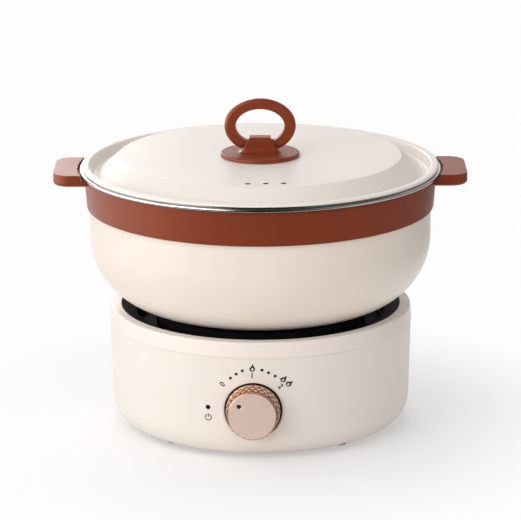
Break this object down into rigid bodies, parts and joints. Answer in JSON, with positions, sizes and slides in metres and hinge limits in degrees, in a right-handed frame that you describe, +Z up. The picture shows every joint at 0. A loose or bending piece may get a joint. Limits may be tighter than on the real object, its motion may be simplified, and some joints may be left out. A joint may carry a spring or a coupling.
{
  "type": "electric hot pot with lid",
  "caption": "Round electric hot pot: a heater base with a control knob, a lift-off steel pot with side handles, a steam rack and a loose lid with a folding ring handle.",
  "frame": {"origin": "centre of the footprint on the table that the rubber feet stand on, below the pot's axis", "axes": "+Z up, side handles along X, control knob towards -Y, power inlet towards +Y"},
  "size_m": [0.346, 0.3038, 0.2794],
  "materials": {
    "shell_plastic": "fine satin moulded cream",
    "ring_plastic": "satin moulded cream",
    "pot_coating": "satin cream coating outside, polished steel inside",
    "lid_coating": "satin cream coating on top, steel underneath",
    "brown_plastic": "matt red-brown moulding",
    "rose_metal": "bright rose gold plating on a knurled knob",
    "rose_face": "satin pale rose plating",
    "dark_cast_aluminium": "turned, dark coating",
    "black_coated_sheet": "satin black",
    "steel": "fine brushed",
    "rack_steel": "satin",
    "element_sheath": "oxidised",
    "dark_trim": "gloss",
    "black_plastic": "matt",
    "lens_plastic": "gloss",
    "lamp_glass": "clear",
    "ceramic": "glazed",
    "wire_insulation": "matt",
    "brass": "bright",
    "rubber": "matt"
  },
  "bodies": {
    "base": {"base_shell": "shell_plastic", "base_top_ring": "ring_plastic", "well_liner": "black_coated_sheet", "liner_screws": "steel", "reflector_pan": "steel", "hot_plate": "dark_cast_aluminium", "plate_posts": "steel", "plate_screws": "steel", "heating_element": "element_sheath", "terminal_beads": "ceramic", "overheat_cutout": "black_plastic", "cutout_clip": "steel", "thermal_fuse": "wire_insulation", "fuse_clip": "steel", "knob_bezel": "dark_trim", "thermostat_body": "black_plastic", "thermostat_nut": "steel", "indicator_lens": "lens_plastic", "indicator_lamp": "lamp_glass", "inlet_socket": "black_plastic", "inlet_pins": "brass", "spade_connectors": "wire_insulation", "internal_wires": "wire_insulation", "bottom_cover": "shell_plastic", "cover_screws": "steel", "base_feet": "rubber"},
    "knob": {"knob_body": "rose_metal", "knob_face": "rose_face", "control_shaft": "steel"},
    "pot": {"pot_body": "pot_coating", "pot_base_disc": "steel", "handle_band": "brown_plastic", "handle_brackets": "steel", "handle_screws": "steel"},
    "rack": {"steam_rack": "rack_steel"},
    "lid": {"lid_panel": "lid_coating", "handle_saddle": "brown_plastic", "handle_screw": "steel", "handle_washer": "steel"},
    "ring": {"ring_handle": "brown_plastic"}
  },
  "joints": [
    {"name": "pot_lift", "type": "slide", "parent": "base", "child": "pot", "axis": [0, 0, 1], "range_m": [0, 0.1]},
    {"name": "rack_lift", "type": "slide", "parent": "pot", "child": "rack", "axis": [0, 0, 1], "range_m": [0, 0.09]},
    {"name": "lid_lift", "type": "slide", "parent": "pot", "child": "lid", "axis": [0, 0, 1], "range_m": [0, 0.12]},
    {"name": "ring_fold", "type": "hinge", "parent": "lid", "child": "ring", "pos_m": [0, 0, 0.2414], "axis": [-1, 0, 0], "range_deg": [0, 85]},
    {"name": "knob_turn", "type": "hinge", "parent": "base", "child": "knob", "pos_m": [-0.00634, -0.12642, 0.0461], "axis": [0.0501, 0.9987, 0], "range_deg": [0, 102]}
  ]
}
